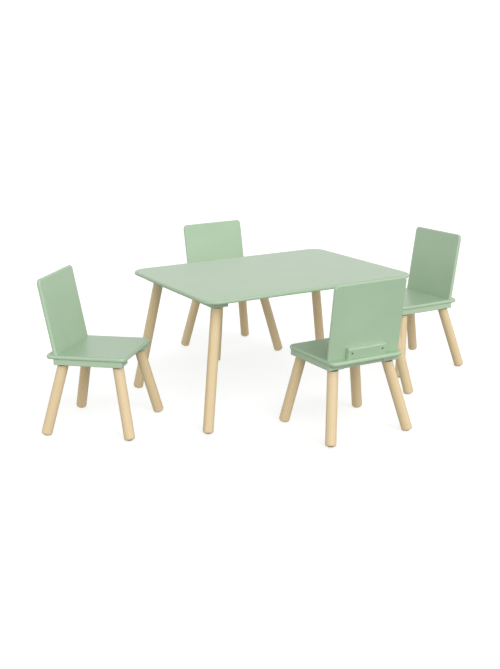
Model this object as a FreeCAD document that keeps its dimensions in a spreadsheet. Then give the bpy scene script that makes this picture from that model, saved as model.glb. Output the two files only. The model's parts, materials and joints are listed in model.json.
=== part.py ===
"""Children's table with four chairs, as a parametric FreeCAD document.

Painted boards (table top, seats, backrests, blocks and rails) stand on turned wooden legs.
Each leg is held to its rail by a hanger bolt, with a thin washer between them, and ends in a glide.
Everything is in millimetres.  +Z is up and the floor is z = 0.  A chair is drawn in its own frame, with
+X the way a sitter faces and the origin on the floor under the seat's middle, and is then put in its place.
"""
import FreeCAD, Part
import math
import os
import re

import Sketcher

from FreeCAD import Placement, Rotation, Vector

# ---------------------------------------------------------------- driving sizes
SIZES = [
    # boards
    ("panel_thickness", 15.0, "table top, seats and backrests"),
    ("panel_edge_radius", 6.0, "rounding of the board edges"),
    # table
    ("table_length", 905.0, "along X"),
    ("table_width", 722.0, "along Y"),
    ("table_height", 500.0, "floor to the top face"),
    ("table_corner_radius", 60.0, "plan radius of the top's corners"),
    ("table_rail_width", 64.0, "across the rail"),
    ("table_rail_thickness", 27.0, "height of the rail"),
    ("table_rail_end_inset", 82.5, "top's end to the rail's centre line"),
    ("table_rail_side_inset", 65.0, "top's long edge to the rail's end"),
    ("table_leg_from_rail_end", 35.0, "rail's end to the leg's axis"),
    ("table_leg_splay_long", 10.5, "degrees outwards along X"),
    ("table_leg_splay_cross", 9.0, "degrees outwards along Y"),
    ("table_screw_spacing", 180.0, "between the rail's screws"),
    # legs, washers, glides and hanger bolts
    ("leg_diameter", 40.0, "turned leg"),
    ("washer_diameter", 39.0, "between the leg and its rail"),
    ("washer_thickness", 5.0, ""),
    ("washer_bore", 10.0, "room for the leaning bolt"),
    ("glide_diameter", 18.0, "under the foot"),
    ("glide_thickness", 2.0, ""),
    ("glide_margin", 3.0, "flat wood left round the glide; the foot is rounded from there out"),
    ("bolt_diameter", 8.0, "hanger bolt"),
    ("bolt_in_leg", 30.0, "length inside the leg"),
    ("bolt_in_rail", 14.0, "length inside the rail"),
    ("hole_clearance", 0.1, "radial, round bolts and screws"),
    # chair
    ("seat_depth", 308.0, "front to rear"),
    ("seat_width", 305.0, "side to side"),
    ("seat_height", 303.0, "floor to the top face"),
    ("seat_corner_radius", 24.0, "plan radius of the corners"),
    ("chair_rail_width", 66.0, "across the rail"),
    ("chair_rail_thickness", 22.0, "height of the rail"),
    ("chair_rail_front_inset", 15.0, "seat's front edge to the rail"),
    ("chair_rail_rear_inset", 31.0, "seat's rear edge to the rail"),
    ("chair_rail_side_inset", 4.0, "seat's side to the rail"),
    ("cross_rail_recess", 5.0, "side rails' rear ends to the cross rail"),
    ("chair_leg_from_rail_end", 26.0, "rail's end to the leg's axis"),
    ("front_leg_splay", 11.0, "degrees forwards"),
    ("rear_leg_splay", 13.8, "degrees backwards"),
    ("side_leg_splay", 11.0, "degrees outwards to the side"),
    ("backrest_width", 300.0, "side to side"),
    ("backrest_top", 582.0, "floor to the highest point"),
    ("backrest_lean", 9.8, "degrees backwards"),
    ("backrest_inset", 32.0, "seat's rear edge to the backrest's rear face"),
    ("backrest_corner_radius", 17.0, "upper corners"),
    ("block_width", 160.0, "block behind the backrest"),
    ("block_height", 42.0, "above the seat"),
    ("block_thickness", 18.0, ""),
    ("block_edge_radius", 5.0, ""),
    ("block_screw_spacing", 128.0, "two screws into the backrest"),
    ("block_screw_height", 21.0, "above the seat"),
    ("seat_screw_spacing", 80.0, "two screws up into the block"),
    ("side_rail_screw_spacing", 100.0, "two screws in each side rail"),
    ("cross_rail_screw_spacing", 100.0, "two screws in the cross rail"),
    # wood screws
    ("screw_length", 24.5, "under the head"),
    ("back_screw_length", 22.0, "under the head, for the screws through the block"),
    ("screw_shank_diameter", 4.0, ""),
    ("screw_head_diameter", 8.0, ""),
    ("screw_head_height", 2.5, ""),
    ("screw_bite", 12.0, "length in the board it holds"),
    ("rail_edge_radius", 3.0, "rounding of the rails' lower edges and ends"),
    ("rail_top_radius", 1.0, "rounding of the rails' upper edges"),
    # where the chairs stand: room between the table's edge and a seat that faces it squarely,
    # how far along that edge from its middle, and the way the chair faces in degrees from +X
    ("left_chair_gap", 131.5, ""),
    ("left_chair_along", -16.0, ""),
    ("left_chair_heading", -42.0, ""),
    ("back_chair_gap", 165.0, ""),
    ("back_chair_along", 167.0, ""),
    ("back_chair_heading", -89.0, ""),
    ("right_chair_gap", 109.5, ""),
    ("right_chair_along", 34.0, ""),
    ("right_chair_heading", 180.6, ""),
    ("front_chair_gap", 7.0, ""),
    ("front_chair_along", 19.0, ""),
    ("front_chair_heading", 90.2, ""),
]

# The table edge that each chair stands at, as the direction out of that edge.
CHAIRS = {
    "left_chair": Vector(-1, 0, 0),
    "back_chair": Vector(0, 1, 0),
    "right_chair": Vector(1, 0, 0),
    "front_chair": Vector(0, -1, 0),
}

UP = Vector(0, 0, 1)
STRAIGHT = Placement()

doc = FreeCAD.newDocument("kids_table_and_chairs")
sheet = doc.addObject("Spreadsheet::Sheet", "Sizes")
nodes = []


# ---------------------------------------------------------------- sheet and small helpers
def fill_sheet():
    """Write every driving size into the sheet and give its cell an alias."""
    for row, (alias, value, note) in enumerate(SIZES, start=1):
        sheet.set(f"A{row}", alias)
        sheet.set(f"B{row}", str(value))
        sheet.set(f"C{row}", note)
        sheet.setAlias(f"B{row}", alias)
    doc.recompute()


def size(alias):
    """The number that the sheet holds for an alias."""
    return float(sheet.get(alias))


def in_full(text):
    """An expression written in aliases, with each alias read from the sheet."""
    known = {alias for alias, value, note in SIZES}
    return re.sub(r"[a-z_]+", lambda word: "Sizes." + word[0] if word[0] in known else word[0], text)


def bind(target, prop, text):
    """Bind a property to an expression written in aliases."""
    target.setExpression(prop, in_full(text))


def evaluate(text):
    """The value of an expression written in aliases."""
    return float(sheet.evalExpression(in_full(text)))


def keep(piece, label, placement):
    """Name a finished sub-part, put it in its place and list it as a node."""
    piece.Label = label
    piece.Placement = placement
    nodes.append(piece)


def facing(direction):
    """The rotation that turns +Z to a direction."""
    return Rotation(UP, direction)


# ---------------------------------------------------------------- sketches
def plane(body, role):
    """One of a body's own origin planes."""
    return next(item for item in body.Origin.OriginFeatures if item.Role == role)


def new_sketch(body, role):
    sketch = body.newObject("Sketcher::SketchObject", "Outline")
    sketch.AttachmentSupport = [(plane(body, role), "")]
    sketch.MapMode = "FlatFace"
    return sketch


def closed_outline(sketch, points):
    """Lines round the points, joined end to end."""
    count = len(points)
    for index, point in enumerate(points):
        sketch.addGeometry(Part.LineSegment(point, points[(index + 1) % count]), False)
    for index in range(count):
        sketch.addConstraint(Sketcher.Constraint("Coincident", index, 2, (index + 1) % count, 1))


def dimension(sketch, constraint, text):
    """Add a driving dimension and bind it to an expression written in aliases."""
    index = sketch.addConstraint(constraint)
    name = f"size_{index}"
    sketch.renameConstraint(index, name)
    bind(sketch, f"Constraints.{name}", text)


def rectangle(sketch, length, width):
    """A rectangle round the sketch's origin."""
    half_x, half_y = evaluate(length) / 2, evaluate(width) / 2
    corners = [(-half_x, -half_y), (half_x, -half_y), (half_x, half_y), (-half_x, half_y)]
    closed_outline(sketch, [Vector(x, y, 0) for x, y in corners])
    for index, direction in enumerate(("Horizontal", "Vertical", "Horizontal", "Vertical")):
        sketch.addConstraint(Sketcher.Constraint(direction, index))
    sketch.addConstraint(Sketcher.Constraint("Symmetric", 0, 1, 2, 1, -1, 1))
    dimension(sketch, Sketcher.Constraint("DistanceX", 0, 1, 0, 2, 2 * half_x), length)
    dimension(sketch, Sketcher.Constraint("DistanceY", 1, 1, 1, 2, 2 * half_y), width)


# ---------------------------------------------------------------- roundings
def fillet(body, base, chosen, radius):
    """Round the edges of base that the test picks."""
    doc.recompute()
    names = [f"Edge{number}" for number, edge in enumerate(base.Shape.Edges, start=1) if chosen(edge)]
    rounding = body.newObject("PartDesign::Fillet", "Round")
    rounding.Base = (base, names)
    bind(rounding, "Radius", radius)
    return rounding


def upright(edge):
    """True for an edge that runs straight up."""
    box = edge.BoundBox
    return box.XLength < 0.001 and box.YLength < 0.001


def level_at(height):
    """A test for the edges that lie in the level plane at a height."""
    def test(edge):
        box = edge.BoundBox
        return abs(box.ZMin - height) < 0.001 and abs(box.ZMax - height) < 0.001
    return test


# ---------------------------------------------------------------- boards
def board(name, length, width, thickness, corner, lower, upper):
    """A rectangular board on z = 0, with rounded corners and rims."""
    body = doc.addObject("PartDesign::Body", name)
    sketch = new_sketch(body, "XY_Plane")
    rectangle(sketch, length, width)
    pad = body.newObject("PartDesign::Pad", "Pad")
    pad.Profile = sketch
    bind(pad, "Length", thickness)
    corners = fillet(body, pad, upright, corner)
    lower_rim = fillet(body, corners, level_at(0), lower)
    fillet(body, lower_rim, level_at(evaluate(thickness)), upper)
    return body


def leaning_board(name, width, thickness, rear, top):
    """A board that stands on the seat and leans back, its foot cut level.

    rear places its rear face on the seat, and top is its highest point above the floor.
    """
    body = doc.addObject("PartDesign::Body", name)
    sketch = new_sketch(body, "XZ_Plane")
    lean = math.radians(size("backrest_lean"))
    foot, high, rear_x, deep = size("seat_height"), evaluate(top), evaluate(rear), evaluate(thickness)
    front_x = rear_x + deep / math.cos(lean)
    top_front = Vector(front_x - (high - foot) * math.tan(lean), high, 0)
    top_rear = top_front - Vector(deep * math.cos(lean), deep * math.sin(lean), 0)
    closed_outline(sketch, [Vector(rear_x, foot, 0), Vector(front_x, foot, 0), top_front, top_rear])
    sketch.addConstraint(Sketcher.Constraint("Horizontal", 0))
    sketch.addConstraint(Sketcher.Constraint("Parallel", 1, 3))
    sketch.addConstraint(Sketcher.Constraint("Perpendicular", 1, 2))
    dimension(sketch, Sketcher.Constraint("DistanceX", 0, 1, -1, 1, -rear_x), f"-1 * ({rear})")
    dimension(sketch, Sketcher.Constraint("DistanceY", -1, 1, 0, 1, foot), "seat_height")
    dimension(sketch, Sketcher.Constraint("DistanceY", -1, 1, 1, 2, high), top)
    dimension(sketch, Sketcher.Constraint("Distance", 0, 2, 3, deep), thickness)
    dimension(sketch, Sketcher.Constraint("Angle", 1, math.pi / 2 + lean), "90 + backrest_lean")
    pad = body.newObject("PartDesign::Pad", "Pad")
    pad.Profile = sketch
    pad.SideType = "Symmetric"
    bind(pad, "Length", width)
    return body, pad


def top_corner(top, thickness):
    """A test for a leaning board's two short upper edges, one at each side."""
    lowest = evaluate(top) - evaluate(thickness)

    def test(edge):
        return edge.BoundBox.YLength < 0.001 and edge.BoundBox.ZMin > lowest
    return test


def in_leaning_faces(rear, depths):
    """A test for the edges that lie in a leaning board's faces, at these depths from its rear face."""
    lean = math.radians(size("backrest_lean"))
    foot = Vector(evaluate(rear), 0, size("seat_height"))
    ahead = Vector(math.cos(lean), 0, math.sin(lean))

    def test(edge):
        points = edge.discretize(5)
        if max(point.z for point in points) - foot.z < 0.001:
            return False
        return any(all(abs((point - foot).dot(ahead) - deep) < 0.001 for point in points) for deep in depths)
    return test


# ---------------------------------------------------------------- holes, screws, bolts and legs
def cylinder(name, radius, height, start, direction):
    """A cylinder from start along direction."""
    rod = doc.addObject("Part::Cylinder", name)
    bind(rod, "Radius", radius)
    bind(rod, "Height", height)
    rod.Placement = Placement(start, facing(direction))
    return rod


def fused(name, shapes):
    union = doc.addObject("Part::MultiFuse", name)
    union.Shapes = shapes
    return union


def group(name, pieces):
    """Separate solids that share one node."""
    together = doc.addObject("Part::Compound", name)
    together.Links = pieces
    return together


def drilled(name, blank, tools):
    """The blank with every tool cut out of it."""
    cut = doc.addObject("Part::Cut", name)
    cut.Base = blank
    cut.Tool = fused(f"{name}_holes", tools) if len(tools) > 1 else tools[0]
    return cut


def screw(name, entry, direction, outer, length):
    """A wood screw through an outer board into the next one, and the hole for it.

    entry is where it goes in on the outer board's face, outer is that board's thickness and length is the
    screw's own, under its head.
    """
    sunk = f"{outer} + screw_bite - {length}"
    under_head = entry + direction * evaluate(sunk)
    head_start = under_head - direction * size("screw_head_height")
    shank = cylinder("shank", "screw_shank_diameter / 2", length, under_head, direction)
    head = cylinder("head", "screw_head_diameter / 2", "screw_head_height", head_start, direction)
    outside = entry - direction * size("screw_head_height")
    recess = f"{sunk} + screw_head_height"
    wide = cylinder("recess", "screw_head_diameter / 2 + hole_clearance", recess, outside, direction)
    narrow_radius = "screw_shank_diameter / 2 + hole_clearance"
    narrow = cylinder("pilot", narrow_radius, length, under_head, direction)
    return fused(name, [shank, head]), fused(f"{name}_hole", [wide, narrow])


def leg(label, mount, under, splay_x, splay_y, signs, placement):
    """One splayed leg under a rail, with its washer, glide and hanger bolt.

    mount is where the leg's axis meets the rail's underside, and under is that height as an expression.
    The splays are the names of two angles.  Returns the rail's bolt hole, the pads and the bolt.
    """
    tan_x, tan_y = math.tan(math.radians(size(splay_x))), math.tan(math.radians(size(splay_y)))
    down = Vector(signs[0] * tan_x, signs[1] * tan_y, -1).normalize()
    upward = down * -1
    tilt = f"atan(sqrt(tan({splay_x})^2 + tan({splay_y})^2))"
    reach = f"(({under}) - glide_diameter / 2 * sin({tilt})) / cos({tilt}) - glide_thickness"
    foot = mount + down * evaluate(reach)

    blank = doc.addObject("PartDesign::Body", f"{label}_blank")
    sketch = new_sketch(blank, "XY_Plane")
    sketch.addGeometry(Part.Circle(Vector(), UP, size("leg_diameter") / 2), False)
    sketch.addConstraint(Sketcher.Constraint("Coincident", 0, 3, -1, 1))
    dimension(sketch, Sketcher.Constraint("Diameter", 0, size("leg_diameter")), "leg_diameter")
    pad = blank.newObject("PartDesign::Pad", "Pad")
    pad.Profile = sketch
    bind(pad, "Length", f"{reach} + leg_diameter * tan({tilt})")
    fillet(blank, pad, level_at(0), "(leg_diameter - glide_diameter) / 2 - glide_margin")
    blank.Placement = Placement(foot, facing(upward))

    bolt_start = mount + down * (size("bolt_in_leg") + size("washer_thickness"))
    bolt_length = "bolt_in_leg + washer_thickness + bolt_in_rail"
    bolt = cylinder(f"{label}_bolt", "bolt_diameter / 2", bolt_length, bolt_start, upward)
    bore = cylinder(f"{label}_bore", "bolt_diameter / 2 + hole_clearance", bolt_length, bolt_start, upward)

    trim = doc.addObject("Part::Box", f"{label}_trim")
    for side in ("Length", "Width"):
        bind(trim, side, "4 * leg_diameter")
    bind(trim, "Height", "2 * leg_diameter")
    half = 2 * size("leg_diameter")
    trim.Placement.Base = mount + Vector(-half, -half, -size("washer_thickness"))
    keep(drilled(f"{label}_turned", blank, [trim, bore]), label, placement)

    under_washer = mount + down * (size("washer_thickness") / 2 / upward.z)
    under_washer.z = mount.z - size("washer_thickness")
    disc = cylinder(f"{label}_disc", "washer_diameter / 2", "washer_thickness", under_washer, UP)
    eye = cylinder(f"{label}_eye", "washer_bore / 2", "washer_thickness", under_washer, UP)
    washer = drilled(f"{label}_washer", disc, [eye])
    glide_start = foot + down * size("glide_thickness")
    glide = cylinder(f"{label}_glide", "glide_diameter / 2", "glide_thickness", glide_start, upward)
    return bore, [washer, glide], bolt


def screws_at(name, places, direction, outer, length="screw_length"):
    """Screws at several places, as two lists: the screws and their holes."""
    pairs = [screw(f"{name}_{number}", place, direction, outer, length)
             for number, place in enumerate(places)]
    return [pair[0] for pair in pairs], [pair[1] for pair in pairs]


# ---------------------------------------------------------------- table
def build_table():
    """The top on two end rails, with a leg near each end of each rail."""
    underside = evaluate("table_height - panel_thickness")
    under = "table_height - panel_thickness - table_rail_thickness"
    rail_bottom = evaluate(under)
    rail_x = evaluate("table_length / 2 - table_rail_end_inset")
    rail_end = evaluate("table_width / 2 - table_rail_side_inset")
    leg_y = rail_end - size("table_leg_from_rail_end")
    spacing = size("table_screw_spacing")

    screws, holes, pads, bolts = [], [], [], []
    for end, side_x in (("left", -1), ("right", 1)):
        places = [Vector(side_x * rail_x, step * spacing, rail_bottom) for step in (-1, 0, 1)]
        rail_screws, rail_holes = screws_at(f"{end}_rail_screw", places, UP, "table_rail_thickness")
        bores = []
        for row, side_y in (("front", -1), ("back", 1)):
            mount = Vector(side_x * rail_x, side_y * leg_y, rail_bottom)
            splays = ("table_leg_splay_long", "table_leg_splay_cross")
            signs = (side_x, side_y)
            bore, leg_pads, bolt = leg(f"table_leg_{row}_{end}", mount, under, *splays, signs, STRAIGHT)
            bores.append(bore)
            pads += leg_pads
            bolts.append(bolt)
        blank = board(f"{end}_end_rail_blank", "table_rail_width", "table_width - 2 * table_rail_side_inset",
                      "table_rail_thickness", "rail_edge_radius", "rail_edge_radius", "rail_top_radius")
        blank.Placement.Base = Vector(side_x * rail_x, 0, rail_bottom)
        keep(drilled(f"{end}_end_rail", blank, rail_holes + bores), f"table_end_rail_{end}", STRAIGHT)
        screws += rail_screws
        holes += rail_holes

    top = board("top_blank", "table_length", "table_width", "panel_thickness",
                "table_corner_radius", "panel_edge_radius", "panel_edge_radius")
    top.Placement.Base = Vector(0, 0, underside)
    keep(drilled("top", top, holes), "table_top", STRAIGHT)
    keep(group("table_pads", pads), "table_leg_pads", STRAIGHT)
    keep(group("table_bolts", bolts), "table_leg_bolts", STRAIGHT)
    keep(group("table_screws", screws), "table_rail_screws", STRAIGHT)


# ---------------------------------------------------------------- chair
def chair_place(chair, outward):
    """Where a chair stands: outward points from the table to it."""
    out = abs(outward.x) * size("table_length") / 2 + abs(outward.y) * size("table_width") / 2
    out += size(f"{chair}_gap") + size("seat_depth") / 2
    along = Vector(abs(outward.y), abs(outward.x), 0) * size(f"{chair}_along")
    return Placement(outward * out + along, Rotation(UP, size(f"{chair}_heading")))


def build_chair(chair, placement):
    """One chair, drawn in its own frame and put in its place."""
    seat_bottom = evaluate("seat_height - panel_thickness")
    under = "seat_height - panel_thickness - chair_rail_thickness"
    rail_bottom = evaluate(under)
    front_end = evaluate("seat_depth / 2 - chair_rail_front_inset")
    rear_end = evaluate("-seat_depth / 2 + chair_rail_rear_inset")
    rail_y = evaluate("seat_width / 2 - chair_rail_side_inset - chair_rail_width / 2")
    rail_middle = (front_end + rear_end) / 2
    cross_x = rear_end + evaluate("cross_rail_recess + chair_rail_width / 2")

    fasteners, seat_holes, pads = [], [], []
    for side, sign in (("left", 1), ("right", -1)):
        half = size("side_rail_screw_spacing") / 2
        places = [Vector(rail_middle + step * half, sign * rail_y, rail_bottom) for step in (-1, 1)]
        screws, holes = screws_at(f"{chair}_{side}_screw", places, UP, "chair_rail_thickness")
        bores = []
        for row, ahead, end, splay in (("front", 1, front_end, "front_leg_splay"),
                                       ("rear", -1, rear_end, "rear_leg_splay")):
            leg_x = end - ahead * size("chair_leg_from_rail_end")
            mount = Vector(leg_x, sign * rail_y, rail_bottom)
            splays = (splay, "side_leg_splay")
            signs = (ahead, sign)
            bore, leg_pads, bolt = leg(f"{chair}_leg_{row}_{side}", mount, under, *splays, signs, placement)
            bores.append(bore)
            pads += leg_pads
            fasteners.append(bolt)
        length = "seat_depth - chair_rail_front_inset - chair_rail_rear_inset"
        blank = board(f"{chair}_{side}_rail_blank", length, "chair_rail_width", "chair_rail_thickness",
                      "rail_edge_radius", "rail_edge_radius", "rail_top_radius")
        blank.Placement.Base = Vector(rail_middle, sign * rail_y, rail_bottom)
        keep(drilled(f"{chair}_{side}_rail", blank, holes + bores), f"{chair}_side_rail_{side}", placement)
        fasteners += screws
        seat_holes += holes

    half = size("cross_rail_screw_spacing") / 2
    places = [Vector(cross_x, step * half, rail_bottom) for step in (-1, 1)]
    screws, holes = screws_at(f"{chair}_cross_screw", places, UP, "chair_rail_thickness")
    between = "seat_width - 2 * chair_rail_side_inset - 2 * chair_rail_width"
    cross = cross_rail(f"{chair}_cross_blank", between)
    cross.Placement.Base = Vector(cross_x, 0, rail_bottom)
    keep(drilled(f"{chair}_cross", cross, holes), f"{chair}_cross_rail", placement)
    fasteners += screws
    seat_holes += holes

    back_rear = "-seat_depth / 2 + backrest_inset"
    block_rear = f"{back_rear} - block_thickness / cos(backrest_lean)"
    block_top = "seat_height + block_height"
    lean = math.radians(size("backrest_lean"))
    ahead = Vector(math.cos(lean), 0, math.sin(lean))
    rise = size("block_screw_height")
    half = size("block_screw_spacing") / 2
    on_block = Vector(evaluate(block_rear) - rise * math.tan(lean), 0, size("seat_height") + rise)
    places = [on_block + Vector(0, step * half, 0) for step in (-1, 1)]
    back_screws, back_holes = screws_at(f"{chair}_back_screw", places, ahead, "block_thickness",
                                        "back_screw_length")
    half = size("seat_screw_spacing") / 2
    under_block = evaluate(f"{back_rear} - block_thickness / cos(backrest_lean) / 2")
    places = [Vector(under_block, step * half, seat_bottom) for step in (-1, 1)]
    up_screws, up_holes = screws_at(f"{chair}_up_screw", places, UP, "panel_thickness")
    fasteners += back_screws + up_screws
    seat_holes += up_holes

    back, pad = leaning_board(f"{chair}_back_blank", "backrest_width", "panel_thickness", back_rear,
                              "backrest_top")
    corners = fillet(back, pad, top_corner("backrest_top", "panel_thickness"), "backrest_corner_radius")
    both = in_leaning_faces(back_rear, (0, size("panel_thickness")))
    fillet(back, corners, both, "panel_edge_radius")
    keep(drilled(f"{chair}_back", back, back_holes), f"{chair}_backrest", placement)

    block, pad = leaning_board(f"{chair}_block_blank", "block_width", "block_thickness", block_rear,
                               block_top)
    fillet(block, pad, in_leaning_faces(block_rear, (0,)), "block_edge_radius")
    keep(drilled(f"{chair}_block", block, back_holes + up_holes), f"{chair}_back_block", placement)

    seat = board(f"{chair}_seat_blank", "seat_depth", "seat_width", "panel_thickness",
                 "seat_corner_radius", "panel_edge_radius", "panel_edge_radius")
    seat.Placement.Base = Vector(0, 0, seat_bottom)
    keep(drilled(f"{chair}_panel", seat, seat_holes), f"{chair}_seat", placement)
    keep(group(f"{chair}_pads", pads), f"{chair}_leg_pads", placement)
    keep(group(f"{chair}_hardware", fasteners), f"{chair}_fasteners", placement)


def cross_rail(name, between):
    """The rail between the side rails; only its two long lower edges are rounded."""
    body = doc.addObject("PartDesign::Body", name)
    sketch = new_sketch(body, "XY_Plane")
    rectangle(sketch, "chair_rail_width", between)
    pad = body.newObject("PartDesign::Pad", "Pad")
    pad.Profile = sketch
    bind(pad, "Length", "chair_rail_thickness")
    at_floor = level_at(0)
    fillet(body, pad, lambda edge: at_floor(edge) and edge.BoundBox.XLength < 0.001, "rail_edge_radius")
    return body


# ---------------------------------------------------------------- whole set
def whole_box():
    """The box round every node."""
    box = FreeCAD.BoundBox()
    for node in nodes:
        box.add(node.Shape.optimalBoundingBox(False, False))
    return box


def centre_on_floor():
    """Move every node so that the origin is on the floor at the middle of the whole set."""
    middle = whole_box().Center
    for node in nodes:
        node.Placement.Base = node.Placement.Base - Vector(middle.x, middle.y, 0)
    doc.recompute()


def check():
    """Stop if an object failed or a node's shape isn't sound."""
    for item in doc.Objects:
        if "Invalid" in item.State or "Error" in item.State:
            raise RuntimeError(f"{item.Name} failed: {item.State}")
    for node in nodes:
        if node.Shape.isNull() or not node.Shape.isValid():
            raise RuntimeError(f"{node.Label} has no sound shape")
        if not node.Shape.Solids:
            raise RuntimeError(f"{node.Label} has no solid")


def write():
    """One STEP file for each node."""
    os.makedirs("parts", exist_ok=True)
    for node in nodes:
        node.Shape.exportStep(f"parts/{node.Label}.step")


fill_sheet()
build_table()
for chair_name, table_side in CHAIRS.items():
    build_chair(chair_name, chair_place(chair_name, table_side))
doc.recompute()
centre_on_floor()
check()
write()
extent = whole_box()
print(f"{len(nodes)} nodes, box {extent.XMin:.1f} {extent.YMin:.1f} {extent.ZMin:.1f}"
      f" to {extent.XMax:.1f} {extent.YMax:.1f} {extent.ZMax:.1f}")
for node in nodes:
    print(f"{node.Label}: {len(node.Shape.Solids)} solids, {node.Shape.Volume / 1000:.1f} cm3")
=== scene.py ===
# %% [markdown]
# # A children's table and four chairs
#
# The set is made of sage-green painted boards on round legs of pale wood. The boards, legs and hardware
# come in from the CAD model with their true shapes, so this lesson is about what Blender adds: finishes
# that come from how each surface was made, small turned and pressed parts that replace plain discs, and a
# soft studio light.
#
# We work in metres, in the same frame as the CAD: +Z is up, the floor is at zero.

import json
import math
import random
from collections import defaultdict

import bmesh
import bpy
import numpy as np
from mathutils import Matrix, Vector


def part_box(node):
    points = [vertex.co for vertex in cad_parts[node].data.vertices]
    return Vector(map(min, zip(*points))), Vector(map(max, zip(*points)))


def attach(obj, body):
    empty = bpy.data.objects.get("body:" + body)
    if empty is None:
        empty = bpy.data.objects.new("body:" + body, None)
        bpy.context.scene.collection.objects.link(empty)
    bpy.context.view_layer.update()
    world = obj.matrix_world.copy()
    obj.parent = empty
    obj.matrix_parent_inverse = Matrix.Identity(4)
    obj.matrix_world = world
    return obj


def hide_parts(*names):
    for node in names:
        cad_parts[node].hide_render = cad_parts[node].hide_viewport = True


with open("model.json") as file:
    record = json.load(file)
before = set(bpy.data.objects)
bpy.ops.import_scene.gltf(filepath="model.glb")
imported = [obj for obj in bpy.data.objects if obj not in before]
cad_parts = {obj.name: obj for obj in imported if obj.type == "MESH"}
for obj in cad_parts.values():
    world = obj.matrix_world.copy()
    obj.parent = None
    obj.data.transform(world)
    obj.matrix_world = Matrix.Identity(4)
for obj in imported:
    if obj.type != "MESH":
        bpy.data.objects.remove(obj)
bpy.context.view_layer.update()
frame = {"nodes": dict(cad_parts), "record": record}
nodes = frame["nodes"]
bodies = frame["record"]["behaviour"]["bodies"]
chairs = [body for body in bodies if body.endswith("_chair")]

# %% [markdown]
# ## Camera
#
# The camera stands over four metres from the table and 1.3 m above the floor, with a lens a little longer
# than normal, so that the boards' edges stay nearly parallel. Its turn is built from three angles: azimuth
# round the set, elevation above it and a touch of roll. Blender's camera looks down its own -Z axis, so
# `back` below is that axis, and the other two follow from it.

# %% Place the camera
LENS_MM = 56.63
FROM_TABLE = Vector((-2.0302, -3.6199, 1.3272))
AZIMUTH, ELEVATION, ROLL = (math.radians(angle) for angle in (-28.15, 14.66, -1.16))

back = Vector((
    math.sin(AZIMUTH) * math.cos(ELEVATION),
    -math.cos(AZIMUTH) * math.cos(ELEVATION),
    math.sin(ELEVATION),
))
right = Vector((math.cos(AZIMUTH), math.sin(AZIMUTH), 0))
above = back.cross(right)
rolled_right = right * math.cos(ROLL) + above * math.sin(ROLL)
rolled_above = above * math.cos(ROLL) - right * math.sin(ROLL)

camera_data = bpy.data.cameras.new("catalogue_camera")
camera_data.lens = LENS_MM
camera = bpy.data.objects.new("catalogue_camera", camera_data)
bpy.context.scene.collection.objects.link(camera)
turn = Matrix((rolled_right, rolled_above, back)).transposed().to_4x4()
low_corner, high_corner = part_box("table_top")
table_middle = (low_corner + high_corner) / 2
table_middle.z = 0
camera.matrix_world = Matrix.Translation(table_middle + FROM_TABLE) @ turn
bpy.context.scene.camera = camera
print("camera stands", round(FROM_TABLE.length, 2), "m from the table")

# %% [markdown]
# ## Light
#
# One big softbox stands in front of the set, about twenty-five degrees round to the camera's right, and
# shines down at forty degrees. A wide sun imitates it: a sun lights the whole floor evenly, where a lamp
# close by would leave a bright pool round the set. The rest of the light comes from the world, which is
# built with the materials' helpers below. "Standard" keeps painted colours as they are, because nothing
# here is bright enough to need a film curve.

# %% Hang the softbox
KEY_AZIMUTH, KEY_ELEVATION = -3, 40
KEY_STRENGTH, KEY_SPREAD = 1.55, 50


def wide_sun(name, azimuth, elevation, strength, spread):
    """A sun that shines from a direction given in degrees, with a disc `spread` degrees wide."""
    data = bpy.data.lights.new(name, "SUN")
    data.energy = strength
    data.angle = math.radians(spread)
    sun = bpy.data.objects.new(name, data)
    turned, raised = math.radians(azimuth), math.radians(elevation)
    towards = Vector((
        math.sin(turned) * math.cos(raised),
        -math.cos(turned) * math.cos(raised),
        math.sin(raised),
    ))
    sun.rotation_mode = "QUATERNION"
    sun.rotation_quaternion = towards.to_track_quat("Z", "Y")
    bpy.context.scene.collection.objects.link(sun)


wide_sun("front_softbox", KEY_AZIMUTH, KEY_ELEVATION, KEY_STRENGTH, KEY_SPREAD)
bpy.context.scene.view_settings.view_transform = "Standard"
print("softbox at", KEY_ELEVATION, "degrees above the floor")

# %% [markdown]
# ## Helpers for materials
#
# Every material below is a small tree of nodes. One function adds a node of any kind, sets its values or its
# two colour stops and links its inputs, so that a tree reads from top to bottom as a recipe. Colours are
# written as sRGB hex, the way a paint chart gives them, and turned to the linear values that the shader
# works in. Patterns are given in millimetres.

# %% Node and colour helpers
RGBA_A, RGBA_B, RGBA_MIXED = 6, 7, 2
FLOAT_A, FLOAT_B, FLOAT_MIXED = 2, 3, 0


def linear(hex_colour):
    """An sRGB hex colour as the linear RGBA that a shader works in."""
    channels = [int(hex_colour[place:place + 2], 16) / 255 for place in (1, 3, 5)]
    return (*(c / 12.92 if c <= 0.04045 else ((c + 0.055) / 1.055) ** 2.4 for c in channels), 1)


def per_metre(millimetres):
    """How often a pattern of this size repeats in a metre, which is what a texture's scale means here."""
    return 1000 / millimetres


def add(tree, kind, settings=(), links=()):
    """Add a node to the tree with its settings, and link its inputs to other nodes' outputs."""
    node = tree.nodes.new("ShaderNode" + kind)
    for name, value in dict(settings).items():
        if name == "stops":
            for stop, (position, colour) in zip(node.color_ramp.elements, value):
                stop.position, stop.color = position, linear(colour)
        elif isinstance(name, int) or name in node.inputs:
            node.inputs[name].default_value = value
        else:
            setattr(node, name, value)
    for name, output in dict(links).items():
        tree.links.new(output, node.inputs[name])
    return node


def new_material(name):
    """An empty material, as its tree and its shader."""
    material = bpy.data.materials.new(name)
    material.use_nodes = True
    tree = material.node_tree
    return material, tree, tree.nodes["Principled BSDF"]


print("half grey, #808080, is", round(linear("#808080")[0], 3), "in linear light")

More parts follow.
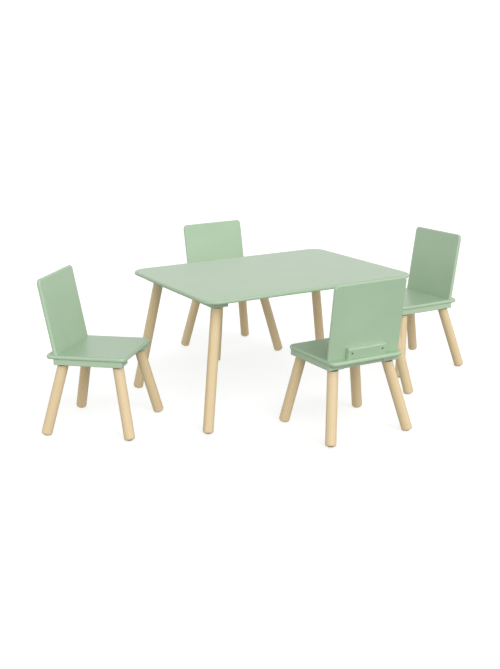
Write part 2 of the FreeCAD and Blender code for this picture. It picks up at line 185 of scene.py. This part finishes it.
# %% [markdown]
# ## The studio round the set
#
# The world stands for the studio's white walls. Their light is strongest from a little above the floor. It
# falls to about a seventh of that straight overhead, and about a quarter of it comes from below, which is
# why the rails under the seats fall into shade. Rays that come straight from the camera see plain white
# instead, so that nothing shows behind the set.

# %% Build the world
WALLS = [(-1.0, 0.30), (-0.3, 0.38), (0.0, 0.80), (0.04, 1.26), (0.32, 1.17), (0.65, 0.57), (1.0, 0.17)]
BACKDROP_WHITE = 1.05

world = bpy.data.worlds.new("white_studio")
world.use_nodes = True
sky = world.node_tree
direction = add(sky, "TexCoord")
split = add(sky, "SeparateXYZ", links={"Vector": direction.outputs["Generated"]})
walls = add(sky, "FloatCurve", links={"Value": split.outputs["Z"]})
curve = walls.mapping
curve.use_clip = False
curve.curves[0].points[0].location = WALLS[0]
curve.curves[0].points[-1].location = WALLS[-1]
for wall in WALLS[1:-1]:
    curve.curves[0].points.new(*wall)
for point in curve.curves[0].points:
    point.handle_type = "VECTOR"
curve.update()
seen = add(sky, "LightPath")
strength = add(sky, "Mix", {"data_type": "FLOAT", FLOAT_B: BACKDROP_WHITE}, {
    "Factor": seen.outputs["Is Camera Ray"], FLOAT_A: walls.outputs["Value"],
})
sky.links.new(strength.outputs[FLOAT_MIXED], sky.nodes["Background"].inputs["Strength"])
sky.nodes["Background"].inputs["Color"].default_value = linear("#FFFFFF")
bpy.context.scene.world = world
print("walls from", WALLS[0], "to", WALLS[-1])

# %% [markdown]
# ## Reading shapes from the frame
#
# Some finishes follow the piece: grain runs along a leg, and paint sits differently on a board's face and
# on its routed edge. A CAD node's place is in its vertices, so both directions can be read from its mesh.
# The normals of a round piece all stand square to its axis. Adding up their outer products and taking the
# matrix's own directions finds that axis exactly, and for a board the normal that covers the most area is
# the board's face.

# %% Read axes and faces
LEG_RADIUS = 0.02
STEEP = 0.5


def faces_of(node):
    """Areas, normals and middles of a node's faces, as arrays."""
    polygons = nodes[node].data.polygons
    areas = np.array([face.area for face in polygons])
    normals = np.array([face.normal for face in polygons])
    middles = np.array([face.center for face in polygons])
    return areas, normals, middles


def board_face(node):
    """The normal of a board's broad face."""
    areas, normals, _ = faces_of(node)
    covered = defaultdict(float)
    for area, normal in zip(areas, normals):
        covered[tuple(np.round(normal, 2))] += area
    return Vector(max(covered, key=covered.get)).normalized()


def leg_axis(node):
    """A point at the foot of a leg, on its axis, and the direction up along it."""
    areas, normals, middles = faces_of(node)
    sides = np.abs(normals[:, 2]) < STEEP
    areas, normals, middles = areas[sides], normals[sides], middles[sides]
    spread = (normals * areas[:, None]).T @ normals
    axis = np.linalg.eigh(spread)[1][:, 0]
    axis = axis * np.sign(axis[2])
    on_axis = np.average(middles - normals * LEG_RADIUS, axis=0, weights=areas)
    foot_height = float(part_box(node)[0].z)
    foot = on_axis - axis * (on_axis[2] - foot_height) / axis[2]
    return Vector(foot), Vector(axis)


boards = [n for n in nodes if not any(word in n for word in ("_leg_", "fasteners", "screws"))]
legs = [n for n in nodes if "_leg_" in n and not n.endswith(("_pads", "_bolts"))]
print(len(boards), "boards and", len(legs), "legs")

# %% [markdown]
# ## Satin lacquer on MDF
#
# The green pieces are medium-density fibreboard, routed to a round edge and sprayed. Sprayed lacquer levels
# into a faint ripple that painters call orange peel, a few millimetres across and only microns high. The
# routed edge drinks more paint than the pressed face, so it dries a little paler and less glossy, with
# raised fibres. A clear satin coat goes on top: it takes colour away and gives back the white of the walls
# where it's seen at a low angle, which is why the table's top looks greyer than the backrests. The board's
# face direction is kept on each object as a property, and the shader compares it with the surface.
#
# The peel has its real width, but is drawn many times too high, or it would not show. Raised fibres are far
# finer than 0.9 mm and are drawn that coarse for the same reason.

# %% Paint the boards
SAGE, SAGE_DEEP, SAGE_EDGE = "#ABC5A6", "#A7C1A2", "#B1C9AB"
PEEL_MM, CLOUD_MM, FIBRE_MM = 2.6, 140, 0.9
TOP_COAT = 0.3


def satin_lacquer():
    """Sprayed paint that knows a board's face from its routed edge."""
    material, tree, shader = new_material("satin_lacquer_on_mdf")
    place = add(tree, "TexCoord")
    here = place.outputs["Object"]

    face = add(tree, "Attribute", {"attribute_type": "OBJECT", "attribute_name": "board_face"})
    along = add(tree, "VectorMath", {"operation": "DOT_PRODUCT"},
                {0: place.outputs["Normal"], 1: face.outputs["Vector"]})
    flat = add(tree, "Math", {"operation": "ABSOLUTE"}, {0: along.outputs["Value"]})
    edge = add(tree, "MapRange", {"interpolation_type": "SMOOTHSTEP", "From Min": 0.995, "From Max": 0.7},
               {"Value": flat.outputs["Value"]})

    cloud = add(tree, "TexNoise", {"Scale": per_metre(CLOUD_MM), "Detail": 3}, {"Vector": here})
    tone = add(tree, "ValToRGB", {"stops": [(0.35, SAGE_DEEP), (0.65, SAGE)]}, {"Fac": cloud.outputs["Fac"]})
    paint = add(tree, "Mix", {"data_type": "RGBA", RGBA_B: linear(SAGE_EDGE)},
                {"Factor": edge.outputs["Result"], RGBA_A: tone.outputs["Color"]})
    tree.links.new(paint.outputs[RGBA_MIXED], shader.inputs["Base Color"])

    peel = add(tree, "TexNoise", {"Scale": per_metre(PEEL_MM), "Detail": 2, "Roughness": 0.4},
               {"Vector": here})
    fibre = add(tree, "TexNoise", {"Scale": per_metre(FIBRE_MM), "Detail": 4}, {"Vector": here})
    raised = add(tree, "Math", {"operation": "MULTIPLY"},
                 {0: fibre.outputs["Fac"], 1: edge.outputs["Result"]})
    relief = add(tree, "Math", {"operation": "MULTIPLY_ADD", 1: 0.5},
                 {0: raised.outputs["Value"], 2: peel.outputs["Fac"]})
    bump = add(tree, "Bump", {"Strength": 0.5, "Distance": 0.00018}, {"Height": relief.outputs["Value"]})
    tree.links.new(bump.outputs["Normal"], shader.inputs["Normal"])

    gloss = add(tree, "MapRange", {"To Min": 0.36, "To Max": 0.46}, {"Value": cloud.outputs["Fac"]})
    dulled = add(tree, "Math", {"operation": "MULTIPLY_ADD", 1: 0.1},
                 {0: edge.outputs["Result"], 2: gloss.outputs["Result"]})
    tree.links.new(dulled.outputs["Value"], shader.inputs["Roughness"])
    shader.inputs["IOR"].default_value = 1.5
    shader.inputs["Coat Weight"].default_value = TOP_COAT
    shader.inputs["Coat Roughness"].default_value = 0.3
    shader.inputs["Coat IOR"].default_value = 1.5
    return material


def give(node, material):
    """Let a CAD node wear one material."""
    piece = nodes[node]
    if not piece.material_slots:
        piece.data.materials.append(material)
    for dressed in piece.material_slots:
        dressed.material = material


lacquer = satin_lacquer()
for board in boards:
    nodes[board]["board_face"] = board_face(board)
    give(board, lacquer)
print(len(boards), "boards painted")

# %% [markdown]
# ## Clear-lacquered rubberwood
#
# The legs are turned from rubberwood, a pale plantation hardwood: cream with faint tan growth bands and
# short dark pores that run with the grain. Turning cuts straight through the bands, so they must be a solid
# pattern that fills the leg, not a skin wrapped round it. Each leg keeps its foot, its turn and the place
# of its tree's heart as properties, and the Mapping node uses them to give every leg coordinates of its own
# with Z along the grain.
#
# Real pores are about 0.2 mm wide; they are drawn at 0.8 mm, or they would not show. Blender's wave repeats
# every 0.314 m at a scale of one, so that number turns a band's width into a scale.

# %% Grow the wood
CREAM, TAN, STREAK, PORE = "#E4CEA4", "#DFC79C", "#E0C79D", "#C4A578"
BAND_MM, STREAK_MM, PORE_MM = 7.5, 1.6, 0.8
BANDS_DRAWN, STREAKS_DRAWN, PORES_DRAWN = 14, 24, 16
WAVE_LENGTH = 0.314
HEART_AWAY, TRUNK = (0.03, 0.09), 20
grain_seed = random.Random(7)


def lacquered_rubberwood():
    """Growth bands, streaks and pores, in each leg's own coordinates."""
    material, tree, shader = new_material("lacquered_rubberwood")
    place = add(tree, "TexCoord")
    foot = add(tree, "Attribute", {"attribute_type": "OBJECT", "attribute_name": "leg_foot"})
    turned = add(tree, "Attribute", {"attribute_type": "OBJECT", "attribute_name": "leg_turn"})
    heart = add(tree, "Attribute", {"attribute_type": "OBJECT", "attribute_name": "leg_heart"})
    local = add(tree, "Mapping", {"vector_type": "TEXTURE"}, {
        "Vector": place.outputs["Object"],
        "Location": foot.outputs["Vector"],
        "Rotation": turned.outputs["Vector"],
    })
    grown = add(tree, "VectorMath", {"operation": "ADD"},
                {0: local.outputs["Vector"], 1: heart.outputs["Vector"]})

    def drawn_out(times):
        """The leg's coordinates, squeezed along the grain so that a pattern comes out this much longer."""
        node = add(tree, "VectorMath", {"operation": "MULTIPLY", 1: (1, 1, 1 / times)},
                   {0: grown.outputs["Vector"]})
        return node.outputs["Vector"]

    bands = add(tree, "TexWave", {
        "wave_type": "RINGS", "rings_direction": "Z", "wave_profile": "SIN",
        "Scale": WAVE_LENGTH * per_metre(BAND_MM), "Distortion": 2.2, "Detail": 2, "Detail Scale": 0.7,
    }, {"Vector": drawn_out(BANDS_DRAWN)})
    tone = add(tree, "ValToRGB", {"stops": [(0.15, CREAM), (0.95, TAN)]}, {"Fac": bands.outputs["Fac"]})

    streaks = add(tree, "TexNoise", {"Scale": per_metre(STREAK_MM), "Detail": 3},
                  {"Vector": drawn_out(STREAKS_DRAWN)})
    share = add(tree, "MapRange", {"From Min": 0.4, "From Max": 0.7, "To Max": 0.4},
                {"Value": streaks.outputs["Fac"]})
    streaked = add(tree, "Mix", {"data_type": "RGBA", RGBA_B: linear(STREAK)},
                   {"Factor": share.outputs["Result"], RGBA_A: tone.outputs["Color"]})

    dashes = add(tree, "TexNoise", {"Scale": per_metre(PORE_MM), "Detail": 1},
                 {"Vector": drawn_out(PORES_DRAWN)})
    pores = add(tree, "MapRange", {"From Min": 0.62, "From Max": 0.72, "To Max": 0.35},
                {"Value": dashes.outputs["Fac"]})
    wood = add(tree, "Mix", {"data_type": "RGBA", RGBA_B: linear(PORE)},
               {"Factor": pores.outputs["Result"], RGBA_A: streaked.outputs[RGBA_MIXED]})
    tree.links.new(wood.outputs[RGBA_MIXED], shader.inputs["Base Color"])

    hollows = add(tree, "Math", {"operation": "MULTIPLY_ADD", 1: -1},
                  {0: pores.outputs["Result"], 2: streaks.outputs["Fac"]})
    bump = add(tree, "Bump", {"Strength": 0.3, "Distance": 0.0002}, {"Height": hollows.outputs["Value"]})
    tree.links.new(bump.outputs["Normal"], shader.inputs["Normal"])
    gloss = add(tree, "MapRange", {"To Min": 0.38, "To Max": 0.6}, {"Value": pores.outputs["Result"]})
    tree.links.new(gloss.outputs["Result"], shader.inputs["Roughness"])
    shader.inputs["IOR"].default_value = 1.5
    return material


wood = lacquered_rubberwood()
for leg in legs:
    foot, axis = leg_axis(leg)
    heart_way = grain_seed.uniform(0, 2 * math.pi)
    heart_away = grain_seed.uniform(*HEART_AWAY)
    nodes[leg]["leg_foot"] = foot
    nodes[leg]["leg_turn"] = Vector(axis.to_track_quat("Z", "Y").to_euler())
    nodes[leg]["leg_heart"] = Vector((
        heart_away * math.cos(heart_way), heart_away * math.sin(heart_way), grain_seed.uniform(0, TRUNK),
    ))
    give(leg, wood)
print(len(legs), "legs, each from its own part of the tree")

# %% [markdown]
# ## Washers, glides, screws and bolts
#
# In the CAD model these are plain discs and rods. Here each one gets the shape it was moulded or cut to. A
# turned part is a profile of (radius, height) points swept round its axis. A thread is the same idea with a
# radius that depends on the angle as well: it rises to a crest once per turn, so the crest climbs by one
# pitch each time round. The small parts are read back from their CAD nodes as separate solids, so every new
# one sits exactly in its place.

# %% Find the separate solids in a node
SAME_POINT = 5
END_DEPTH, HEAD_IS_WIDER = 0.0002, 1.5


def solids_of(node):
    """The separate solids of a CAD node, as lists of its faces' numbers."""
    mesh = nodes[node].data
    spots = [tuple(round(value, SAME_POINT) for value in vertex.co) for vertex in mesh.vertices]
    leader = {spot: spot for spot in spots}

    def first_of(spot):
        while leader[spot] != spot:
            leader[spot] = leader[leader[spot]]
            spot = leader[spot]
        return spot

    for face in mesh.polygons:
        head = first_of(spots[face.vertices[0]])
        for number in face.vertices[1:]:
            leader[first_of(spots[number])] = head
    solids = defaultdict(list)
    for face in mesh.polygons:
        solids[first_of(spots[face.vertices[0]])].append(face.index)
    return list(solids.values())


def round_solid(node, faces):
    """A round solid's measures. Its foot is at its wider end, if it has one, and its axis runs from there."""
    mesh = nodes[node].data
    areas, normals, middles = faces_of(node)
    areas, normals, middles = areas[faces], normals[faces], middles[faces]
    shares, ways = np.linalg.eigh((normals * areas[:, None]).T @ normals)
    axis = ways[:, 0] if shares[1] - shares[0] > shares[2] - shares[1] else ways[:, 2]
    on_axis = np.average(middles, axis=0, weights=areas)
    corners = {number for index in faces for number in mesh.polygons[index].vertices}
    points = np.array([mesh.vertices[number].co for number in corners]) - on_axis
    heights = points @ axis
    radii = np.linalg.norm(points - heights[:, None] * axis, axis=1)
    low, high = heights.min(), heights.max()
    low_radius = radii[heights < low + END_DEPTH].max()
    high_radius = radii[heights > high - END_DEPTH].max()
    if high_radius > low_radius * HEAD_IS_WIDER:
        axis, low, high = -axis, -high, -low
        low_radius, high_radius = high_radius, low_radius
    return {
        "foot": Vector(on_axis + axis * low),
        "axis": Vector(axis),
        "length": high - low,
        "radius": radii.max(),
        "far_radius": high_radius,
        "bore": radii.min(),
    }


for node in ("table_leg_pads", "left_chair_fasteners"):
    measured = [round_solid(node, faces) for faces in solids_of(node)]
    print(node, [(round(m["length"] * 1000, 1), round(m["radius"] * 1000, 1)) for m in measured])

# %% [markdown]
# ## From a profile to a mesh
#
# A lathe turns a bar into a round part, and the same idea makes its mesh: each point of the profile becomes
# a ring, and neighbouring rings are joined by four-sided faces. Writing the mesh directly, rather than with
# a Screw modifier, lets a ring's radius change with its angle, which a thread and a cross recess both need.

# %% Turn a profile into a mesh
MM = 0.001
SHARP_DEGREES = 35


def swept(bm, rings, angles, where):
    """Add rings of points to a mesh and join each ring to the next.

    A ring is (radius, height) in millimetres, and its radius may be a function of the angle. If the last ring
    is the same as the first, as in a washer, they join; otherwise both ends are closed. `where` is the matrix
    that puts it in place.
    """
    def ring_points(radius, height):
        for angle in angles:
            far = radius(angle) if callable(radius) else radius
            yield where @ (Vector((far * math.cos(angle), far * math.sin(angle), height)) * MM)

    hollow = rings[0] == rings[-1]
    made = rings[:-1] if hollow else rings
    levels = [[bm.verts.new(point) for point in ring_points(*ring)] for ring in made]
    if hollow:
        levels.append(levels[0])
    count = len(angles)
    for lower, upper in zip(levels, levels[1:]):
        for step in range(count):
            after = (step + 1) % count
            bm.faces.new((lower[step], lower[after], upper[after], upper[step]))
    if not hollow:
        bm.faces.new(reversed(levels[0]))
        bm.faces.new(levels[-1])


def round_the_clock(count):
    """Evenly spaced angles."""
    return [2 * math.pi * step / count for step in range(count)]


def placed(solid):
    """The matrix that stands +Z on a solid's foot and turns it along the axis."""
    turn = solid["axis"].to_track_quat("Z", "Y").to_matrix().to_4x4()
    return Matrix.Translation(solid["foot"]) @ turn


def mesh_piece(name, bm, body, material, node):
    """Finish a new piece: smooth it, dress it, hang it on its body and let it stand for a CAD node."""
    bmesh.ops.recalc_face_normals(bm, faces=bm.faces)
    data = bpy.data.meshes.new(name)
    bm.to_mesh(data)
    bm.free()
    data.shade_smooth()
    data.set_sharp_from_angle(angle=math.radians(SHARP_DEGREES))
    data.materials.append(material)
    piece = bpy.data.objects.new(name, data)
    bpy.context.scene.collection.objects.link(piece)
    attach(piece, body)
    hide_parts(node)


def corner(radius, height, size, start, steps=5):
    """Points round a quarter circle of this size; `start` is its first angle in degrees."""
    turn = [math.radians(start + 90 * step / steps) for step in range(steps + 1)]
    return [(radius + size * math.cos(angle), height + size * math.sin(angle)) for angle in turn]


print("a rounded rim is", len(corner(1, 0, 1, 0)), "rings")

# %% [markdown]
# ## Nylon and zinc
#
# The glides are moulded in black nylon from a tool with a spark-eroded wall, so they come out matt with a
# very fine pimpled skin. The washers wear the same nylon, and their black is painted shade for the gap at
# the top of each leg. The steel is zinc-plated and yellow-passivated: a brassy metal, softly clouded where
# the plating is thicker, with small pits that scatter the light. Its brown is painted shade, darkened for
# screws that sit in recesses. Metal keeps its own default index of refraction. The pimples and the pits are
# finer in life, and are drawn at about a quarter of a millimetre so that they show.

# %% Nylon and zinc materials
NYLON, NYLON_WORN = "#20211E", "#2E2F2B"
NYLON_WEAR_MM, NYLON_SKIN_MM = 6, 0.25
# Both colours are brassy passivated zinc, darkened as painted shade for screws that sit in recesses.
PASSIVATED_ZINC_SHADED, THICK_ZINC_SHADED = "#978A6C", "#75664A"
ZINC_CLOUD_MM, ZINC_PIT_MM = 3, 0.3


def moulded_nylon():
    """Black, matt, with a spark-eroded skin."""
    material, tree, shader = new_material("matt_moulded_nylon_and_painted_shade")
    place = add(tree, "TexCoord")
    here = place.outputs["Object"]
    wear = add(tree, "TexNoise", {"Scale": per_metre(NYLON_WEAR_MM), "Detail": 3}, {"Vector": here})
    tone = add(tree, "ValToRGB", {"stops": [(0.4, NYLON), (0.75, NYLON_WORN)]}, {"Fac": wear.outputs["Fac"]})
    tree.links.new(tone.outputs["Color"], shader.inputs["Base Color"])
    skin = add(tree, "TexVoronoi", {"Scale": per_metre(NYLON_SKIN_MM)}, {"Vector": here})
    bump = add(tree, "Bump", {"Strength": 0.4, "Distance": 0.00004}, {"Height": skin.outputs["Distance"]})
    tree.links.new(bump.outputs["Normal"], shader.inputs["Normal"])
    gloss = add(tree, "MapRange", {"To Min": 0.48, "To Max": 0.66}, {"Value": wear.outputs["Fac"]})
    tree.links.new(gloss.outputs["Result"], shader.inputs["Roughness"])
    shader.inputs["IOR"].default_value = 1.53
    return material


def zinc_plate():
    """Brassy plating darkened to brown as painted shade, with clouds and fine pits."""
    material, tree, shader = new_material("passivated_zinc_with_painted_shade")
    place = add(tree, "TexCoord")
    here = place.outputs["Object"]
    cloud = add(tree, "TexNoise", {"Scale": per_metre(ZINC_CLOUD_MM), "Detail": 4}, {"Vector": here})
    tone = add(tree, "ValToRGB", {"stops": [(0.35, PASSIVATED_ZINC_SHADED), (0.7, THICK_ZINC_SHADED)]}, {"Fac": cloud.outputs["Fac"]})
    tree.links.new(tone.outputs["Color"], shader.inputs["Base Color"])
    shader.inputs["Metallic"].default_value = 1
    pits = add(tree, "TexNoise", {"Scale": per_metre(ZINC_PIT_MM), "Detail": 2}, {"Vector": here})
    bump = add(tree, "Bump", {"Strength": 0.3, "Distance": 0.00003}, {"Height": pits.outputs["Fac"]})
    tree.links.new(bump.outputs["Normal"], shader.inputs["Normal"])
    gloss = add(tree, "MapRange", {"To Min": 0.26, "To Max": 0.42}, {"Value": cloud.outputs["Fac"]})
    tree.links.new(gloss.outputs["Result"], shader.inputs["Roughness"])
    return material


nylon, zinc = moulded_nylon(), zinc_plate()
for node in nodes:
    if node.endswith("_pads"):
        give(node, nylon)
    if node.endswith(("_fasteners", "_bolts", "_screws")):
        give(node, zinc)
print("made", nylon.name, "and", zinc.name)

# %% [markdown]
# ## Washers and glides
#
# A washer sits between each leg's top and its rail. What shows of it is a thin dark line with softly
# rounded rims, and that black line is painted shade for the gap there. A glide is nailed under the foot:
# a disc with a rounded rim and a dished middle, where the nail's domed head sits below the part that slides
# on the floor.

# %% Mould the washers and glides
WASHER_RIM, GLIDE_RIM, GLIDE_TOP_RIM = 0.7, 0.6, 0.3
DISH_RADIUS, DISH_DEPTH, DISH_RIM = 3.8, 1.1, 0.4
DISH_SLOPE, TIP = 0.3, 0.5
NAIL_RADIUS, NAIL_RISE, NAIL_RIM, NAIL_TIP = 2.6, 0.6, 0.1, 0.2
DOME_STEPS = 6
RING = (0.1, 0.9)
WASHER_SIDES, GLIDE_SIDES, NAIL_SIDES = 64, 48, 24


def washer_profile(solid):
    """Round the ring's section, back to where it starts."""
    outer, bore, thick = solid["radius"] / MM, solid["bore"] / MM, solid["length"] / MM
    rim = WASHER_RIM
    profile = corner(outer - rim, rim, rim, -90) + corner(outer - rim, thick - rim, rim, 0)
    profile += corner(bore + rim, thick - rim, rim, 90) + corner(bore + rim, rim, rim, 180)
    return profile + profile[:1]


def glide_profile(solid):
    """From the foot's side, which is height zero, out round the rim and into the dish."""
    outer, thick = solid["radius"] / MM, solid["length"] / MM
    dish_floor = thick - DISH_DEPTH
    profile = [(TIP, 0)] + corner(outer - GLIDE_TOP_RIM, GLIDE_TOP_RIM, GLIDE_TOP_RIM, -90, 3)
    profile += corner(outer - GLIDE_RIM, thick - GLIDE_RIM, GLIDE_RIM, 0)
    profile += [(DISH_RADIUS + DISH_RIM, thick), (DISH_RADIUS, thick - DISH_RIM)]
    return profile + [(DISH_RADIUS - DISH_SLOPE, dish_floor), (TIP, dish_floor)]


def nail_profile(solid):
    """From the dish's floor over the domed head."""
    dish_floor = solid["length"] / MM - DISH_DEPTH
    rim = dish_floor + NAIL_RIM
    turns = [math.radians(90 * step / DOME_STEPS) for step in range(DOME_STEPS)]
    dome = [(NAIL_RADIUS * math.cos(turn), rim + NAIL_RISE * math.sin(turn)) for turn in turns]
    return [(NAIL_RADIUS, dish_floor)] + dome + [(NAIL_TIP, rim + NAIL_RISE)]


def fit_pads(body, node):
    """Black washers as painted shade at the legs' tops, glides and glide nails for every leg of a body."""
    washers, glides, nails = bmesh.new(), bmesh.new(), bmesh.new()
    for faces in solids_of(node):
        solid = round_solid(node, faces)
        if RING[0] < solid["bore"] / solid["radius"] < RING[1]:
            swept(washers, washer_profile(solid), round_the_clock(WASHER_SIDES), placed(solid))
            continue
        if solid["axis"].z > 0:
            solid["foot"] += solid["axis"] * solid["length"]
            solid["axis"] = -solid["axis"]
        swept(glides, glide_profile(solid), round_the_clock(GLIDE_SIDES), placed(solid))
        swept(nails, nail_profile(solid), round_the_clock(NAIL_SIDES), placed(solid))
    # The washers' black nylon is painted shade: it draws the dark gap at the top of each leg.
    mesh_piece(f"{body}_leg_washers", washers, body, nylon, node)
    mesh_piece(f"{body}_leg_glides", glides, body, nylon, node)
    mesh_piece(f"{body}_glide_nails", nails, body, zinc, node)


for body in bodies:
    fit_pads(body, f"{body}_leg_pads")

# %% [markdown]
# ## Cross recesses
#
# A wood screw has a flat head with a cross recess for the driver. It could be cut with a Boolean, but a
# cross is a star-shaped outline: every direction from its middle meets its edge once. So the recess can be
# one more ring of the head whose radius depends on the angle, first at the top and again, smaller, at the
# bottom, and the mesh stays clean.

# %% Shape the cross recess
CROSS_ARM, CROSS_HALF_WIDTH, CROSS_DEPTH, CROSS_TAPER = 2.5, 0.62, 1.5, 0.62
NEXT_TO_TIP = (0.12, 0.3)
NEVER_ZERO = 1e-6


def cross_edge(scale):
    """A function that gives a cross's edge in each direction."""
    def edge(angle):
        turned = abs((angle + math.pi / 4) % (math.pi / 2) - math.pi / 4)
        along = CROSS_ARM / math.cos(turned)
        across = CROSS_HALF_WIDTH / max(math.sin(turned), NEVER_ZERO)
        return scale * min(along, across)
    return edge


def head_angles():
    """Angles that meet every corner of the cross, with a few between them."""
    tip = math.atan2(CROSS_HALF_WIDTH, CROSS_ARM)
    quarter = math.pi / 2
    after = [tip + step for step in NEXT_TO_TIP]
    inner = [-tip, 0, tip, *after, quarter / 2, *(quarter - angle for angle in reversed(after))]
    return [number * quarter + angle for number in range(4) for angle in inner]


print("a screw's head has", len(head_angles()), "sides")

# %% [markdown]
# ## Threads
#
# A thread is a ridge that climbs by one pitch a turn. It is made of rings too: each one has a bump, and the
# bump moves round a little from ring to ring. Six rings a turn are enough for parts that are mostly hidden
# in the wood.

# %% Roll the threads
STEPS_PER_TURN = 6
CREST_SHARE, FINEST = 0.5, 0.15


def thread(core, crest, pitch, start, end, fade=0.0):
    """Rings of a thread from one height to another; over the last `fade` it shrinks to a point."""
    def radius_at(height):
        left = min(1, (end - height) / fade) if fade else 1

        def radius(angle):
            turn = (height / pitch - angle / (2 * math.pi)) % 1
            rise = max(0, 1 - abs(turn - 0.5) * 2 / CREST_SHARE)
            return max(FINEST, left * (core + (crest - core) * rise))
        return radius
    count = math.ceil((end - start) / pitch * STEPS_PER_TURN)
    heights = [start + (end - start) * step / count for step in range(count + 1)]
    return [(radius_at(height), height) for height in heights]


print("a thread has", STEPS_PER_TURN, "rings a turn")

# %% [markdown]
# ## Screws and hanger bolts
#
# Under its head, a wood screw has a short plain neck and a coarse thread that ends in a point. A hanger
# bolt has no head: a coarse wood thread for the leg at one end, and a fine metric thread for the rail at
# the other.

# %% Cut the screws and bolts
HEAD_HEIGHT, HEAD_RIM, RIM_BEVEL = 2.5, 0.4, 0.3
NECK, NECK_SHARE, NECK_LAP = 4.0, 0.8, 0.2
WOOD_PITCH, WOOD_DEPTH, POINT = 1.8, 0.62, 5.0
METRIC_PITCH, METRIC_DEPTH, METRIC_BEVEL, METRIC_END = 1.25, 0.68, 0.4, 0.5
LEG_PITCH, LEG_DEPTH, LEG_BEVEL = 3.2, 1.0, 0.6
WAIST_DEPTH = 0.4
SCREW_SIDES, BOLT_SIDES = 14, 20


def cut_screw(heads, solid):
    """A screw's head lies at its foot; its axis runs from there to the point."""
    outer, length, core = solid["radius"] / MM, solid["length"] / MM, solid["far_radius"] / MM
    head = [
        (cross_edge(CROSS_TAPER), CROSS_DEPTH), (cross_edge(1), 0), (outer - HEAD_RIM, 0),
        (outer - HEAD_RIM * RIM_BEVEL, HEAD_RIM * RIM_BEVEL), (outer, HEAD_RIM), (outer, HEAD_HEIGHT),
        (core * NECK_SHARE, HEAD_HEIGHT),
    ]
    swept(heads, head, head_angles(), placed(solid))
    neck = [(core * NECK_SHARE, HEAD_HEIGHT - NECK_LAP), (core * NECK_SHARE, HEAD_HEIGHT + NECK)]
    worm = thread(core - WOOD_DEPTH, core, WOOD_PITCH, HEAD_HEIGHT + NECK, length, POINT)
    swept(heads, neck + worm, round_the_clock(SCREW_SIDES), placed(solid))


def cut_hanger_bolt(bolts, solid, into_rail, into_leg):
    """The wood thread starts at the lower end, in the leg, and the metric thread ends in the rail."""
    outer, length = solid["radius"] / MM, solid["length"] / MM
    leg_core, rail_core = outer - LEG_DEPTH, outer - METRIC_DEPTH
    waist, rail_start = outer - WAIST_DEPTH, length - into_rail
    rings = [(leg_core - LEG_BEVEL, 0)] + thread(leg_core, outer, LEG_PITCH, LEG_BEVEL, into_leg)
    rings += [(waist, into_leg), (waist, rail_start)]
    rings += thread(rail_core, outer, METRIC_PITCH, rail_start, length - METRIC_END)
    rings.append((rail_core - METRIC_BEVEL, length))
    swept(bolts, rings, round_the_clock(BOLT_SIDES), placed(solid))


print("a wood screw climbs", WOOD_PITCH, "mm a turn")

# %% [markdown]
# ## Fitting the hardware
#
# A rod in the CAD model tells what it stands for by its length: a hanger bolt is over forty millimetres
# long, and a wood screw is shorter. Every bolt is turned so that its wood thread is at the lower end, in
# the leg.

# %% Put the screws and bolts in
IN_LEG, IN_RAIL, BOLT_LENGTH = 28, 13, 0.040


def fit_hardware(body, source_nodes):
    """Cut screws and hanger bolts for every rod in these nodes."""
    for node in source_nodes:
        screws, bolts = bmesh.new(), bmesh.new()
        counts = [0, 0]
        for faces in solids_of(node):
            solid = round_solid(node, faces)
            if solid["length"] > BOLT_LENGTH:
                if solid["axis"].z < 0:
                    solid["foot"] += solid["axis"] * solid["length"]
                    solid["axis"] = -solid["axis"]
                cut_hanger_bolt(bolts, solid, IN_RAIL, IN_LEG)
                counts[1] += 1
            else:
                cut_screw(screws, solid)
                counts[0] += 1
        if counts[0]:
            mesh_piece(f"{body}_wood_screws", screws, body, zinc, node)
        if counts[1]:
            mesh_piece(f"{body}_hanger_bolts", bolts, body, zinc, node)
        print(node, "->", counts[0], "screws and", counts[1], "bolts")


for body in bodies:
    fit_hardware(body, [f"{body}_fasteners"] if body in chairs else ["table_rail_screws", "table_leg_bolts"])

# %% [markdown]
# ## Floor
#
# The set stands on a white acrylic floor with a faint glow of its own, as on a light table, so that it
# stays almost as white as the background and keeps only a soft grey shade under the legs. Its bounce is
# left out of the other surfaces' light, as if the set stood high above it, so the undersides stay in shade.
# From below it is clear, so the undersides can be looked at too.

# %% Lay the floor
REACH = 60
GLOW, FLOOR_GREY = 0.68, "#B4B4B4"

floor_data = bpy.data.meshes.new("studio_floor")
far_corners = ((-REACH, -REACH), (REACH, -REACH), (REACH, REACH), (-REACH, REACH))
floor_data.from_pydata([(x, y, 0) for x, y in far_corners], [], [(0, 1, 2, 3)])
floor = bpy.data.objects.new("studio_floor", floor_data)
bpy.context.scene.collection.objects.link(floor)
for ray in ("visible_diffuse", "visible_glossy", "visible_shadow"):
    setattr(floor, ray, False)
acrylic, tree, shader = new_material("white_acrylic_floor")
shader.inputs["Base Color"].default_value = linear(FLOOR_GREY)
shader.inputs["Roughness"].default_value = 0.8
shader.inputs["Emission Color"].default_value = linear("#FFFFFF")
shader.inputs["Emission Strength"].default_value = GLOW
side = add(tree, "NewGeometry")
clear = add(tree, "BsdfTransparent")
either = add(tree, "MixShader", links={
    0: side.outputs["Backfacing"], 1: shader.outputs["BSDF"], 2: clear.outputs["BSDF"],
})
tree.links.new(either.outputs["Shader"], tree.nodes["Material Output"].inputs["Surface"])
floor_data.materials.append(acrylic)
print("floor reaches", REACH, "m each way")
